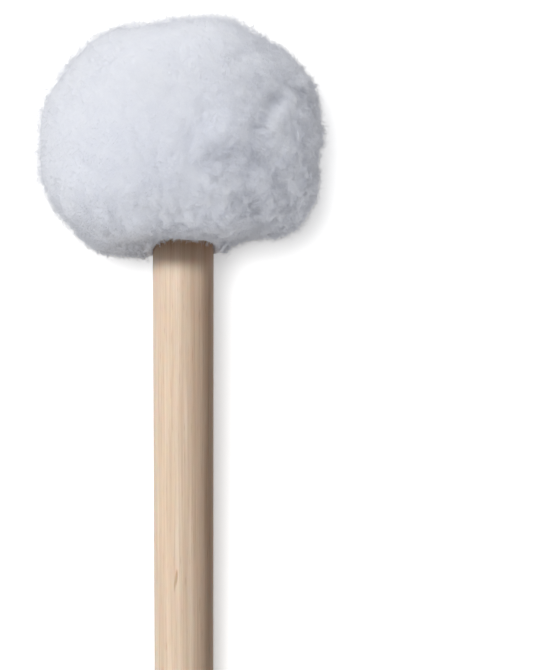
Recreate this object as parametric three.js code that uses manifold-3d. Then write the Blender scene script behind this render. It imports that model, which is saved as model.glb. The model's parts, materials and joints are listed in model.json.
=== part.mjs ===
// Soft-headed bass drum mallet, lying on a table.
// A turned hickory shaft carries a wooden core, which is glued over the shaft's tenon and held by a screw.
// Felt is built up round the core, and a fleece cover is drawn over it and tied round the shaft.
// Units are millimetres. The shaft stands on its butt in its own frame, +Z up to the head, and the head has
// a frame of its own on the shaft's shoulder. The whole mallet is then laid on the plane z = 0, with its head
// towards +Y.

import * as THREE from "three";
import { mergeVertices } from "three/addons/utils/BufferGeometryUtils.js";
import Module from "manifold-3d";

const wasm = await Module();
wasm.setup();

// The gap that glued, pressed or resting pieces keep between their faces.
const clearance = 0.3;

// The shaft swells towards the butt, where it is gripped, and ends in a tenon that enters the core.
const shaft = {
  bodyLength: 323.6,
  neckDiameter: 16.2,
  waistDiameter: 15.7,
  waistHeight: 180,
  gripDiameter: 20.2,
  gripLength: 150,
  buttRound: 7.6,
  tenonDiameter: 12.7,
  tenonLength: 20,
  tenonChamfer: 1,
};

// The turned wooden block in the middle of the head.
const core = { diameter: 38, height: 28, edgeRound: 2 };

// One strip of hard felt, wound on the core with both of its ends skived thin.
const wrap = { stripThickness: 3.75, layers: 2, turnGap: 0.5, skivedEnd: 0.6 };

// The felt above and below the core, each with a long rounded shoulder.
const upperFelt = { thickness: 8, shoulderWidth: 14 };
const lowerFelt = { thickness: 4, shoulderWidth: 15 };

// A softer felt cap between the hard felt and the fleece.
const liner = { thickness: 3 };

// The fleece cover: how deep its pile is at the side, on the crown and under the head, how thick the lip is
// that hugs the shaft, and how far the pile is pressed in where the head lies on the table.
const fleece = { sidePile: 6.7, crownPile: 9.2, hangingPile: 10.2, lip: 0.8, tableSquash: 2.4 };

// The cord that gathers the cover's hem round the shaft, wound on and knotted.
const drawstring = { diameter: 1, turns: 1.25, pitch: 1.5, knotDiameter: 2.2 };

// The wood screw and washer that hold the core down on the shaft's shoulder.
const screw = {
  headDiameter: 8,
  headHeight: 2.6,
  shankDiameter: 3.5,
  shankLength: 26,
  tipLength: 4,
  threadLength: 15,
  threadPitch: 1.8,
  threadHeight: 0.45,
  recessWidth: 1.1,
  recessLength: 5,
  recessDepth: 1.4,
};
const washer = { diameter: 16, thickness: 1.2 };

// How finely the round shapes are divided.
const counts = {
  shaftSides: 40,
  buttSteps: 6,
  swellSteps: 12,
  roundSides: 32,
  arcSteps: 4,
  fleeceSplits: 8,
  cordSteps: 24,
  cordSides: 6,
  screwSides: 12,
  threadSides: 4,
};

// Heights in the head's frame, whose origin is the middle of the shaft's shoulder.
const coreBottom = clearance;
const coreTop = coreBottom + core.height;
const upperFeltBottom = coreTop + clearance;
const linerInsideTop = upperFeltBottom + upperFelt.thickness + clearance;
const linerTop = linerInsideTop + liner.thickness;
const lowerFeltTop = coreBottom - clearance;
const lowerFeltBottom = lowerFeltTop - lowerFelt.thickness;
const pocketTop = linerTop + clearance;
const pocketBottom = lowerFeltBottom - clearance;
const fleeceTop = pocketTop + fleece.crownPile;
const fleeceBottom = pocketBottom - fleece.hangingPile;

// Radii, worked outwards from the shaft and the core.
const neckRadius = shaft.neckDiameter / 2;
const neckBoreRadius = neckRadius + clearance;
const tenonRadius = shaft.tenonDiameter / 2;
const coreRadius = core.diameter / 2;
const wrapPitch = wrap.stripThickness + wrap.turnGap;
const wrapInnerRadius = coreRadius + clearance;
const wrapOuterRadius = wrapInnerRadius + wrap.layers * wrapPitch - wrap.turnGap;
const linerInnerRadius = wrapOuterRadius + clearance;
const linerOuterRadius = linerInnerRadius + liner.thickness;
const pocketRadius = linerOuterRadius + clearance;
const headRadius = pocketRadius + fleece.sidePile;

// The screw passes the washer and the core's web into a pilot hole in the tenon.
const shankRadius = screw.shankDiameter / 2;
const screwHoleRadius = shankRadius + screw.threadHeight + clearance;
const washerBottom = coreTop + clearance;
const screwSeat = washerBottom + washer.thickness + clearance;
const pilotBottom = screwSeat - screw.shankLength - clearance;
const feltHoleRadius = washer.diameter / 2 + clearance;

// The drawstring's turns lie round the neck, in a channel under the lower felt.
const cordRadius = drawstring.diameter / 2;
const coilRise = drawstring.turns * drawstring.pitch;
const coilBottom = pocketBottom - clearance - cordRadius - coilRise;
const knotRadius = drawstring.knotDiameter / 2;
const channelBottom = coilBottom - cordRadius - clearance;
const channelRadius = neckBoreRadius + drawstring.knotDiameter + clearance;
const hemBottom = channelBottom - fleece.lip;

// The head's widest part, as a share of its height, and how square its outline is above and below that part:
// 2 would be an ellipse.
const widestShare = 0.4875;
const squareness = { above: 2.2, below: 3.2 };
const headCentre = THREE.MathUtils.lerp(fleeceBottom, fleeceTop, widestShare);

// The cover's lumps: where each one faces, how far it lies from the crown and how wide it spreads, in
// degrees, and how far it rises or sinks as a share of the pile at the side. 0 faces right, 90 down to the
// table, 180 left and 270 up.
const lumpShares = [
  // The crown leans to the right, and its left shoulder is drawn in.
  [0, 18, 18, 0.1],
  [180, 20, 18, -0.08],
  [180, 58, 14, -0.17],
  [0, 64, 12, 0.15],
  [0, 84, 12, -0.07],
  // The flat left side, drawn in below, and the fuller lower right side.
  [180, 77, 10, 0.11],
  [180, 106, 10, 0.14],
  [180, 124, 11, -0.34],
  [0, 124, 12, 0.2],
  // The hem is drawn up over the shaft, and gathers hang beside and under the shaft.
  [230, 148, 15, -0.5],
  [260, 143, 15, -0.57],
  [294, 143, 15, -0.57],
  [330, 148, 13, -0.5],
  [178, 154, 13, 0.46],
  [6, 138, 13, -0.44],
  [14, 164, 10, 0.5],
  [60, 150, 12, 0.24],
  [100, 150, 10, -0.14],
  [136, 150, 12, 0.22],
  // Tufts over the side that faces up.
  [236, 52, 15, 0.12],
  [284, 38, 14, 0.1],
  [262, 74, 13, -0.12],
  [244, 98, 14, 0.13],
  [290, 92, 13, 0.13],
  [312, 66, 12, -0.14],
  [326, 94, 12, 0.18],
  [310, 116, 11, -0.16],
  [336, 120, 11, 0.2],
  [286, 124, 11, 0.14],
  [214, 80, 13, -0.1],
  [214, 116, 13, 0.14],
  // Tufts over the side that lies down.
  [36, 60, 14, 0.14],
  [72, 40, 13, -0.12],
  [116, 56, 14, 0.12],
  [146, 82, 13, -0.12],
  [34, 100, 13, 0.14],
  [146, 114, 14, 0.16],
  [60, 124, 12, -0.14],
];

// The dimple round the shaft where the hem is drawn in, wide enough to leave the gathers hanging round it.
const dimpleSpread = 24;

// Laying the mallet down: the head's underside is pressed flat on the table, and the butt's rounded rim
// touches it. The lean of the axis follows from the two heights.
const gripRadius = shaft.gripDiameter / 2;
const buttFlatRadius = gripRadius - shaft.buttRound;
const restRadius = headRadius - fleece.tableSquash;
const restAlong = shaft.bodyLength + headCentre - shaft.buttRound;
const restAcross = restRadius - buttFlatRadius;
const restSlope = Math.atan2(restAcross, restAlong);
const lean = restSlope - Math.asin(shaft.buttRound / Math.hypot(restAlong, restAcross));
const buttHeight = shaft.buttRound * (1 - Math.sin(lean)) + buttFlatRadius * Math.cos(lean);

const degrees = THREE.MathUtils.degToRad;

function finish(color, roughness, metalness) {
  return new THREE.MeshStandardMaterial({ color, roughness, metalness });
}

function piece(name, geometry, material, height) {
  const mesh = new THREE.Mesh(geometry, material);
  mesh.name = name;
  mesh.position.z = height;
  return mesh;
}

function point(radius, height) {
  return new THREE.Vector2(radius, height);
}

// A stretch of an ellipse round a centre, from one angle to another.
function arc(centreRadius, centreHeight, width, height, fromDegrees, toDegrees, steps = counts.arcSteps) {
  const points = [];
  for (let i = 0; i <= steps; i++) {
    const angle = degrees(THREE.MathUtils.lerp(fromDegrees, toDegrees, i / steps));
    points.push(point(centreRadius + width * Math.cos(angle), centreHeight + height * Math.sin(angle)));
  }
  return points;
}

// Turns a profile about +Z. It goes up the outside and comes back down the bore, or starts and ends on the
// axis, so that its faces point out.
function turned(profile, segments) {
  const closed = profile[0].x > 0 ? [...profile, profile[0]] : profile;
  return new THREE.LatheGeometry(closed, segments).rotateX(Math.PI / 2);
}

function solidOf(geometry) {
  const bare = geometry.clone();
  bare.deleteAttribute("normal");
  bare.deleteAttribute("uv");
  const merged = mergeVertices(bare);
  const vertProperties = new Float32Array(merged.attributes.position.array);
  const triVerts = new Uint32Array(merged.index.array);
  return new wasm.Manifold(new wasm.Mesh({ numProp: 3, vertProperties, triVerts }));
}

function geometryOf(solid) {
  const mesh = solid.getMesh();
  const geometry = new THREE.BufferGeometry();
  geometry.setAttribute("position", new THREE.BufferAttribute(mesh.vertProperties, mesh.numProp));
  geometry.setIndex(new THREE.BufferAttribute(mesh.triVerts, 1));
  geometry.computeVertexNormals();
  return geometry;
}

// A helix about +Z that climbs from height zero.
class Helix extends THREE.Curve {
  constructor(radius, rise, turns) {
    super();
    this.radius = radius;
    this.rise = rise;
    this.turns = turns;
  }

  getPoint(t, target = new THREE.Vector3()) {
    const angle = 2 * Math.PI * this.turns * t;
    return target.set(this.radius * Math.cos(angle), this.radius * Math.sin(angle), this.rise * t);
  }
}

// A cord or thread wound along a helix.
function wound(helix, radius, stepsPerTurn, sides) {
  const section = new THREE.Shape();
  for (let i = 0; i < sides; i++) {
    const angle = (2 * Math.PI * i) / sides;
    const draw = i ? "lineTo" : "moveTo";
    section[draw](radius * Math.cos(angle), radius * Math.sin(angle));
  }
  const steps = Math.ceil(helix.turns * stepsPerTurn);
  return new THREE.ExtrudeGeometry(section, { steps, extrudePath: helix, bevelEnabled: false });
}

// The shaft: flat butt with a rounded rim, swelling grip, slender waist, neck, shoulder and drilled tenon.
function makeShaft() {
  const round = shaft.buttRound;
  const profile = [point(0, 0), ...arc(buttFlatRadius, round, round, round, -90, 0, counts.buttSteps)];
  const waistRadius = shaft.waistDiameter / 2;
  for (let i = 1; i <= counts.swellSteps; i++) {
    const t = i / counts.swellSteps;
    const swell = (1 + Math.cos(Math.PI * t)) / 2;
    const radius = THREE.MathUtils.lerp(waistRadius, gripRadius, swell);
    profile.push(point(radius, THREE.MathUtils.lerp(round, shaft.gripLength, t)));
  }
  const tenonTop = shaft.bodyLength + shaft.tenonLength;
  profile.push(point(waistRadius, shaft.waistHeight));
  profile.push(point(neckRadius, shaft.bodyLength));
  profile.push(point(tenonRadius, shaft.bodyLength));
  profile.push(point(tenonRadius, tenonTop - shaft.tenonChamfer));
  profile.push(point(tenonRadius - shaft.tenonChamfer, tenonTop));
  profile.push(point(screwHoleRadius, tenonTop));
  profile.push(point(screwHoleRadius, shaft.bodyLength + pilotBottom));
  profile.push(point(0, shaft.bodyLength + pilotBottom));
  return turned(profile, counts.shaftSides);
}

// The core: a drum with rounded edges, a blind bore for the tenon and a hole for the screw through its web.
function makeCore() {
  const boreRadius = tenonRadius + clearance;
  const boreDepth = shaft.tenonLength + clearance - coreBottom;
  const round = core.edgeRound;
  const profile = [
    point(boreRadius, 0),
    ...arc(coreRadius - round, round, round, round, -90, 0),
    ...arc(coreRadius - round, core.height - round, round, round, 0, 90),
    point(screwHoleRadius, core.height),
    point(screwHoleRadius, boreDepth),
    point(boreRadius, boreDepth),
  ];
  return turned(profile, counts.roundSides);
}

function makeWasher() {
  const radius = washer.diameter / 2;
  const profile = [
    point(screwHoleRadius, 0),
    point(radius, 0),
    point(radius, washer.thickness),
    point(screwHoleRadius, washer.thickness),
  ];
  return turned(profile, counts.roundSides);
}

// A round-headed wood screw, seated at height zero, with a crossed recess and a thread on its lower shank.
function makeScrew() {
  const profile = [
    point(0, -screw.shankLength),
    point(shankRadius, screw.tipLength - screw.shankLength),
    point(shankRadius, 0),
    ...arc(0, 0, screw.headDiameter / 2, screw.headHeight, 0, 90),
  ];
  const body = solidOf(turned(profile, counts.screwSides));
  const turns = screw.threadLength / screw.threadPitch;
  const thread = wound(
    new Helix(shankRadius, screw.threadLength, turns),
    screw.threadHeight,
    counts.screwSides,
    counts.threadSides,
  );
  thread.translate(0, 0, screw.tipLength - screw.shankLength);
  const slot = new THREE.BoxGeometry(screw.recessLength, screw.recessWidth, 2 * screw.recessDepth);
  slot.translate(0, 0, screw.headHeight);
  const crossed = slot.clone().rotateZ(Math.PI / 2);
  return geometryOf(body.add(solidOf(thread)).subtract(solidOf(slot)).subtract(solidOf(crossed)));
}

// The wound strip, seen along the axis. It spirals outwards and is clipped to a round inside and outside, so
// that both of its ends run out thin.
function makeWrap() {
  const thinEnd = (2 * Math.PI * (wrap.turnGap + wrap.skivedEnd)) / wrapPitch;
  const lastAngle = 2 * Math.PI * (wrap.layers + 1) - thinEnd;
  const steps = Math.ceil((wrap.layers + 1) * counts.roundSides);
  const inner = [];
  const outer = [];
  for (let i = 0; i <= steps; i++) {
    const angle = THREE.MathUtils.lerp(thinEnd, lastAngle, i / steps);
    const spiral = wrapInnerRadius - wrapPitch + (wrapPitch * angle) / (2 * Math.PI);
    const near = Math.max(spiral, wrapInnerRadius);
    const far = Math.min(spiral + wrap.stripThickness, wrapOuterRadius);
    inner.push(point(near * Math.cos(angle), near * Math.sin(angle)));
    outer.push(point(far * Math.cos(angle), far * Math.sin(angle)));
  }
  const strip = new THREE.Shape([...outer, ...inner.reverse()]);
  return new THREE.ExtrudeGeometry(strip, { depth: core.height, bevelEnabled: false });
}

// The upper felt: a domed disc with a hole in its middle for the washer and the head of the screw.
function makeUpperFelt() {
  const { thickness, shoulderWidth } = upperFelt;
  const profile = [
    point(feltHoleRadius, 0),
    ...arc(wrapOuterRadius - shoulderWidth, 0, shoulderWidth, thickness, 0, 90),
    point(feltHoleRadius, thickness),
  ];
  return turned(profile, counts.roundSides);
}

// The lower felt: a domed ring round the neck, which also closes the wrap and the liner from below.
function makeLowerFelt() {
  const { thickness, shoulderWidth } = lowerFelt;
  const profile = [
    point(neckBoreRadius, 0),
    ...arc(linerOuterRadius - shoulderWidth, thickness, shoulderWidth, thickness, -90, 0),
    point(neckBoreRadius, thickness),
  ];
  return turned(profile, counts.roundSides);
}

// The rounded top that the liner and the cover's pocket share, over the upper felt's shoulder.
function domeOver(radius, top, fromDegrees, toDegrees) {
  const centreRadius = wrapOuterRadius - upperFelt.shoulderWidth;
  const width = radius - centreRadius;
  return arc(centreRadius, upperFeltBottom, width, top - upperFeltBottom, fromDegrees, toDegrees);
}

// The liner: a cap of even thickness that follows the upper felt and the wrap.
function makeLiner() {
  const profile = [
    point(0, linerInsideTop),
    ...domeOver(linerInnerRadius, linerInsideTop, 90, 0),
    point(linerInnerRadius, coreBottom),
    point(linerOuterRadius, coreBottom),
    ...domeOver(linerOuterRadius, linerTop, 0, 90),
    point(0, linerTop),
  ];
  return turned(profile, counts.roundSides);
}

// The least gap between the turns of a wound cord, measured between points half a turn or more apart.
function gapBetweenTurns(helix, radius, stepsPerTurn) {
  const points = helix.getPoints(Math.ceil(helix.turns * stepsPerTurn));
  let leastDistance = Infinity;
  for (let i = 0; i < points.length; i++) {
    for (let j = i + Math.ceil(stepsPerTurn / 2); j < points.length; j++) {
      leastDistance = Math.min(leastDistance, points[i].distanceTo(points[j]));
    }
  }
  return leastDistance - 2 * radius;
}

// The drawstring: its turns, and the knot that ties them.
function makeDrawstring() {
  const helix = new Helix(neckBoreRadius + cordRadius, coilRise, drawstring.turns);
  const gap = gapBetweenTurns(helix, cordRadius, counts.cordSteps);
  console.log(`drawstring: least gap to itself ${gap.toFixed(2)} mm`);
  const coil = wound(helix, cordRadius, counts.cordSteps, counts.cordSides);
  const knot = new THREE.SphereGeometry(knotRadius, counts.cordSides * 2, counts.cordSides);
  knot.translate(neckBoreRadius + knotRadius, 0, knotRadius - cordRadius);
  return geometryOf(solidOf(coil).add(solidOf(knot)));
}

// A direction from the middle of the head, by where it faces and its angle from the crown.
function towards(facing, fromCrown) {
  const across = Math.sin(degrees(fromCrown));
  const along = Math.cos(degrees(fromCrown));
  return new THREE.Vector3(across * Math.cos(degrees(facing)), across * Math.sin(degrees(facing)), along);
}

const lumps = lumpShares.map(([facing, fromCrown, spread, share]) => ({
  place: towards(facing, fromCrown),
  spread: degrees(spread),
  rise: share * fleece.sidePile,
}));
lumps.push({ place: towards(0, 180), spread: degrees(dimpleSpread), rise: fleeceBottom - hemBottom });

// How far the pile reaches from the middle of the head in one direction.
function reachOf(direction) {
  const above = direction.z > 0;
  const power = above ? squareness.above : squareness.below;
  const height = above ? fleeceTop - headCentre : headCentre - fleeceBottom;
  const across = Math.hypot(direction.x, direction.y) / headRadius;
  const along = Math.abs(direction.z) / height;
  let reach = (across ** power + along ** power) ** (-1 / power);
  for (const { place, spread, rise } of lumps) {
    reach += rise * Math.exp(-((direction.angleTo(place) / spread) ** 2));
  }
  return reach;
}

// The outside of the fleece cover, before it is hollowed.
function makePile() {
  const geometry = new THREE.IcosahedronGeometry(1, counts.fleeceSplits);
  const position = geometry.attributes.position;
  const direction = new THREE.Vector3();
  for (let i = 0; i < position.count; i++) {
    direction.fromBufferAttribute(position, i).normalize();
    direction.multiplyScalar(reachOf(direction));
    position.setXYZ(i, direction.x, direction.y, headCentre + direction.z);
  }
  return geometry;
}

// The cover's hem: the rolled edge round the neck that the drawstring runs in.
function makeHem() {
  const profile = [
    point(0, hemBottom),
    ...arc(channelRadius, hemBottom + fleece.lip, fleece.lip, fleece.lip, -90, 0),
    point(channelRadius + fleece.lip, lowerFeltTop),
    point(0, lowerFeltTop),
  ];
  return turned(profile, counts.roundSides);
}

// The cover's pocket: the felt head, the channel for the drawstring and the mouth round the neck.
function makePocket() {
  const footRadius = linerOuterRadius - lowerFelt.shoulderWidth;
  const footWidth = pocketRadius - footRadius;
  const footHeight = lowerFeltTop - pocketBottom;
  const profile = [
    point(0, fleeceBottom),
    point(neckBoreRadius, fleeceBottom),
    point(neckBoreRadius, channelBottom),
    point(channelRadius, channelBottom),
    point(channelRadius, pocketBottom),
    ...arc(footRadius, lowerFeltTop, footWidth, footHeight, -90, 0),
    ...domeOver(pocketRadius, pocketTop, 0, 90),
    point(0, pocketTop),
  ];
  return turned(profile, counts.roundSides);
}

// What the table presses away from the lying head.
function makeTableCut() {
  const cut = new THREE.BoxGeometry(2 * headRadius, headRadius, 2 * headRadius);
  return cut.translate(0, headRadius / 2, 0).rotateX(-lean).translate(0, restRadius, headCentre);
}

function makeFleece() {
  const cover = solidOf(makePile()).add(solidOf(makeHem()));
  return geometryOf(cover.subtract(solidOf(makePocket())).subtract(solidOf(makeTableCut())));
}

const hickory = finish(0xdcc4a8, 0.5, 0);
const coreWood = finish(0xc9a878, 0.65, 0);
const hardFelt = finish(0xd9d6cd, 0.95, 0);
const softFelt = finish(0xecebe6, 0.98, 0);
const whiteFleece = finish(0xdde1eb, 1, 0);
const cordThread = finish(0xe8e6df, 0.8, 0);
const zincSteel = finish(0xb9bbbd, 0.35, 1);

const head = new THREE.Group();
head.position.z = shaft.bodyLength;
head.add(
  piece("head_core", makeCore(), coreWood, coreBottom),
  piece("retaining_washer", makeWasher(), zincSteel, washerBottom),
  piece("retaining_screw", makeScrew(), zincSteel, screwSeat),
  piece("felt_wrap", makeWrap(), hardFelt, coreBottom),
  piece("upper_felt", makeUpperFelt(), hardFelt, upperFeltBottom),
  piece("lower_felt", makeLowerFelt(), hardFelt, lowerFeltBottom),
  piece("liner", makeLiner(), softFelt, 0),
  piece("fleece_cover", makeFleece(), whiteFleece, 0),
  piece("drawstring", makeDrawstring(), cordThread, coilBottom),
);

const mallet = new THREE.Group();
mallet.add(piece("shaft", makeShaft(), hickory, 0), head);
mallet.rotation.x = lean - Math.PI / 2;
mallet.position.z = buttHeight;

// The origin lies on the table under the middle of the mallet.
const middle = new THREE.Box3().setFromObject(mallet, true).getCenter(new THREE.Vector3());
mallet.position.x -= middle.x;
mallet.position.y -= middle.y;

const part = new THREE.Group();
part.add(mallet);

export default part;
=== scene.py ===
"""A soft-headed bass drum mallet lying on a white table, seen from straight above.

The fleece is a lumpy cover whose large shape follows the solid it stands for, with tufts and creases modelled
on it and fibres growing from it. The shaft is turned from the solid's own profile. Lengths are in metres.
"""
import json
import math

import bpy
import numpy as np
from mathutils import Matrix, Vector, noise
from mathutils.bvhtree import BVHTree


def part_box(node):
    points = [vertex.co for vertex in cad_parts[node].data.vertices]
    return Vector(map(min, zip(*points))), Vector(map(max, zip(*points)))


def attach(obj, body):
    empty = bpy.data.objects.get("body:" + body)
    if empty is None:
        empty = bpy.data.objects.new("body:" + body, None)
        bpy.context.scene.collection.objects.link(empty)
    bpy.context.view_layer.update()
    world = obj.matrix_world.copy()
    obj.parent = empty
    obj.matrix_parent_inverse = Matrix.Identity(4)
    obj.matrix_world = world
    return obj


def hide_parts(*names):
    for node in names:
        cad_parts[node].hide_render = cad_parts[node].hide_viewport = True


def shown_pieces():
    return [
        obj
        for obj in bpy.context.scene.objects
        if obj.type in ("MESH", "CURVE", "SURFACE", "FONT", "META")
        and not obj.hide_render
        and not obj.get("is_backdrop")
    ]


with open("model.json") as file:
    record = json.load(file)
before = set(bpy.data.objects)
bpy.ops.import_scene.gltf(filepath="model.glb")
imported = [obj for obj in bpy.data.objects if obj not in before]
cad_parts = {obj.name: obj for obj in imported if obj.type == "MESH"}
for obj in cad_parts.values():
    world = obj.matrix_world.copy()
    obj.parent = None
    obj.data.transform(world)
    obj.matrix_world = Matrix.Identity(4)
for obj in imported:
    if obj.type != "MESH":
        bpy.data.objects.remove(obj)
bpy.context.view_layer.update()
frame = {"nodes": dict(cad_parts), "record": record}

MM = 0.001

# The photograph: its size and its scale at the height of the shaft, and where its middle lies over the table.
IMAGE_WIDTH, IMAGE_HEIGHT = 547, 670
METRES_PER_PIXEL = 0.2646 * MM
AXIS_PIXEL = 183
HEAD_TOP_PIXEL = 16
LENS_MM = 200
SENSOR_MM = 36

# The lamps are suns: what each lights, its bearing to the left of straight ahead, its height and its width in
# degrees, and its level, which is what white paper shows that faces it. The table has one of its own, nearly
# overhead, so that its shadow stays close. The fleece has wide low ones, because a real pile is lit from all
# round: light goes through its fibres, and a white studio has no dark side.
LAMPS = {
    "wood_key": ("wood", 57, 54, 9, 0.66),
    "wood_fill": ("wood", 55, 52, 40, 0.32),
    "fleece_key": ("fleece", 60, 50, 36, 0.35),
    "fleece_fill": ("fleece", 45, 25, 90, 0.5),
    "fleece_side": ("fleece", -60, 15, 90, 0.4),
    "fleece_low": ("fleece", -100, 3, 60, 0.18),
    "fleece_under": ("fleece", 170, 7, 80, 0.53),
    "overhead": ("table", 55, 83, 22, 0.88),
}
SKY_LEVEL = 0.12
FLOOR_BOUNCE = 0.5
FLOOR_LIFT = 0.3

# The fleece cover's skin: its grid from the crown to the mouth, how far inside the solid the pile's roots
# lie, and how the hem tucks in. Angles are in degrees from the crown.
OUTER_RINGS = 180
SIDES = 430
INNER_RINGS = 24
MOUTH_ANGLE = 162
SMOOTHING_PASSES = 30
PILE_INSET = 1.8 * MM
HEM_TUCK = 1.2 * MM
HEM_ANGLE = 140
TUCK_ANGLES = (HEM_ANGLE, 155)
FEATURE_FADE = 10 * MM
LIP_START_SHARE = 0.93
LIP_CALM = 0.8
TABLE_GAP = 0.15 * MM
POCKET_END_GAPS = (0.6 * MM, 0.3 * MM)

# The pile is smooth towards the upper left of the photograph and curly on the other side.
CURLY_TOWARDS = (0.62, -0.72, -0.3)
CURLY_LIMITS = (-0.75, 0.35)
LEAST_CURLY = 0.1
LEAST_RELIEF = 0.25
LEAST_INSET = 0.1

# The lumps, locks and curls: the size of each in millimetres, and its height.
SWIRL_SIZE, SWIRL_REACH = 9.0, 3.0
LUMP_SIZE, LUMP_HEIGHT = 8.0, 0.75
LOCK_SIZE, LOCK_HEIGHT = 4.4, 1.0
CURL_SIZE, CURL_HEIGHT = 2.3, 0.8
FRIZZ_SIZE, FRIZZ_HEIGHT = 1.2, 0.1
LOCK_SHIFT, CURL_SHIFT = Vector((7, 3, 1)), Vector((1, 8, 4))
LOCK_SWIRL = 1.4
LOCK_ROUNDING, CURL_ROUNDING = 0.08, 0.06
CREASE_LEVEL = 0.2

# The tufts of curled fibres that grow from the skin.
TUFTS = 7200
FIBRES_PER_TUFT = 26
FIBRE_PIECES = 12
TUFT_SCATTER = 0.012
LOWEST_ROOT = 1.5 * MM
COMB_SIZE = 9
TUFT_RADIUS = 1.3 * MM
FIBRE_LENGTH = 3.4 * MM
FIBRE_RADIUS = 0.043 * MM
FIBRE_SINK = 0.4 * MM
HEM_PILE = 0.6
# Where the pile is smooth: how strongly tufts climb its slopes, the share of fibres kept and how thin they
# are. Then the share that casts shadows, where it is smooth and where it is curly.
LEAST_CLIMB = 0.25
FEWEST = 0.2
THINNEST = 0.5
SHADING_SHARES = (0.03, 0.3)
# How the tufts are combed, lean and curl over, and how far each strays, as parts of a unit direction.
COMB_PULL, COMB_STRAY = 3, 0.5
COMB_LEAN, LEAN_STRAY = 0.6, 0.2
CURL_STRAY, CURL_OVER = 0.7, 0.3
# How the fibres of a tuft stray: on the curly side, and what is added where the pile is smooth.
SPREAD_PARTS = (0.6, 0.6)
SLANT_PARTS = (0.26, 0.5)
TURN_PARTS = (0.3, 1.0)
GROW_STRAY = 0.15
# A fibre's bend in radians: where the pile is smooth, and what curliness adds. Then the random shares of the
# bend and of the length, and the few that grow longer.
BEND_PARTS = (1.0, 1.8)
BEND_SHARES = (0.7, 1.25)
LENGTH_SHARES = (0.55, 1.0)
LONGER_SHARE, LONGER_RARITY = 0.5, 12
# A fibre is a three-sided tube with a ring at each of the first shares of its length and a point at the last.
FIBRE_SIDES = 3
FIBRE_SHARES = (0, 0.38, 0.74, 1)
FIBRE_THICKNESS_SHARES = (1, 0.9, 0.65)
DRAWN_IN_SHARE = 0.35
CELL_MARGIN_SHARES = (0.15, 0.1)

# The shaft's mesh, its tenon, and the last of it below the hem, painted browner as the head's shadow.
SHAFT_SIDES = 96
PROFILE_STEPS = 6
LEAST_BODY_RADIUS = 7.5 * MM
BUTT_FLATNESS = 0.01 * MM
TENON_CHAMFER = 1 * MM
HEM_BELOW_STRING = 2.2 * MM
HEM_SHADOW_LENGTH = 6 * MM
# Where the side away from the key light is painted warmer and darker, as shade: distances from the axis.
SHADED_SIDE_START, SHADED_SIDE_END = 1 * MM, 7 * MM

# The felt pads inside the head: their mesh, and how deep their faces are pitted.
PAD_VOXEL = 0.8 * MM
PAD_ROUNDING = 4
FELT_PITS = 0.08 * MM
LINER_PITS = 0.14 * MM
PIT_SIZES = (5.0, 1.7)
MEAN_PIT, PIT_SWING, DEEPEST_PIT = 0.6, 0.6, 1.6

# The wound strip of hard felt.
STRIP_THICKNESS = 3.75 * MM
STRIP_GAP = 0.5 * MM
STRIP_SKIVED = 0.6 * MM
STRIP_RINGS = 300
STRIP_ROWS = 24
STRIP_SQUARENESS = 24
FELT_INSET = 0.08 * MM

# The drawstring's cord and its strands, and the knot. Each tube's rings start from a way that slants off the
# shaft's, so that no stretch of cord runs along it.
CORD_RADIUS = 0.5 * MM
CORD_TURNS = 1.25
CORD_LAY = 2.4 * MM
CORD_RINGS = 300
CORD_SIDES = 8
STRANDS = 3
STRAND_SHARE = 0.52
KNOT_RADIUS = 1.1 * MM
KNOT_RINGS = 60
KNOT_DEPTH = 1.6
RING_SLANT = 0.3

TABLE_HALF = 4.0
GOLDEN_ANGLE = math.pi * (3 - math.sqrt(5))
FULL_TURN = 2 * math.pi
FIBRE_SEED = 11
NOISE_SEED = 7

noise.seed_set(NOISE_SEED)


# Places

butt_mount = next(m for m in frame["record"]["mounts"] if m["name"] == "butt_end")
butt = Vector(butt_mount["pos_m"])
along = -Vector(butt_mount["axis"]).normalized()
side = Vector((1, 0, 0))
up = side.cross(along)
butt_point, side_axis, up_axis, shaft_axis = (np.array(vector) for vector in (butt, side, up, along))
lean = math.asin(along.z)
head_low, head_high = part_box("fleece_cover")
head_centre = butt + along * along.dot((head_low + head_high) / 2 - butt)
head_point = np.array(head_centre)
hem_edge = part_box("drawstring")[0].dot(along) - HEM_BELOW_STRING


def pixel_place(x, y):
    """The point of the table's plane that the photograph shows at a pixel."""
    left = butt.x + (x - AXIS_PIXEL) * METRES_PER_PIXEL
    ahead = head_high.y - (y - HEAD_TOP_PIXEL) * METRES_PER_PIXEL
    return np.array((left, ahead))


# Shapes that several pieces need

def add_piece(name, vertices, faces, material, smooth=True):
    """An object with one material, made from points and faces and linked to the scene."""
    mesh = bpy.data.meshes.new(name)
    mesh.from_pydata(np.asarray(vertices).tolist(), [], faces)
    mesh.shade_smooth() if smooth else mesh.shade_flat()
    mesh.materials.append(material)
    mesh.update()
    piece = bpy.data.objects.new(name, mesh)
    bpy.context.scene.collection.objects.link(piece)
    return piece


def ring_directions(angles, sides):
    """Directions from the middle of the head, in rings round the axis, by their angle from the crown."""
    turn = np.arange(sides) * FULL_TURN / sides
    outward = np.cos(turn)[:, None] * side_axis + np.sin(turn)[:, None] * up_axis
    return np.sin(angles)[:, None, None] * outward[None] + np.cos(angles)[:, None, None] * shaft_axis


def circle_directions(sides):
    """Directions square to the shaft, evenly round it."""
    return ring_directions(np.array([math.pi / 2]), sides)[0]


def revolved_faces(rings, sides, start, end):
    """Faces of a grid of rings one after another, closed by fans to the points start and end."""
    faces = []
    for j in range(sides):
        k = (j + 1) % sides
        faces.append((start, j, k))
        faces.extend(
            (i * sides + j, (i + 1) * sides + j, (i + 1) * sides + k, i * sides + k) for i in range(rings - 1)
        )
        faces.append((end, (rings - 1) * sides + k, (rings - 1) * sides + j))
    return faces


def unit(vectors):
    """The vectors made one long."""
    return vectors / np.linalg.norm(vectors, axis=1, keepdims=True)


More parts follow.
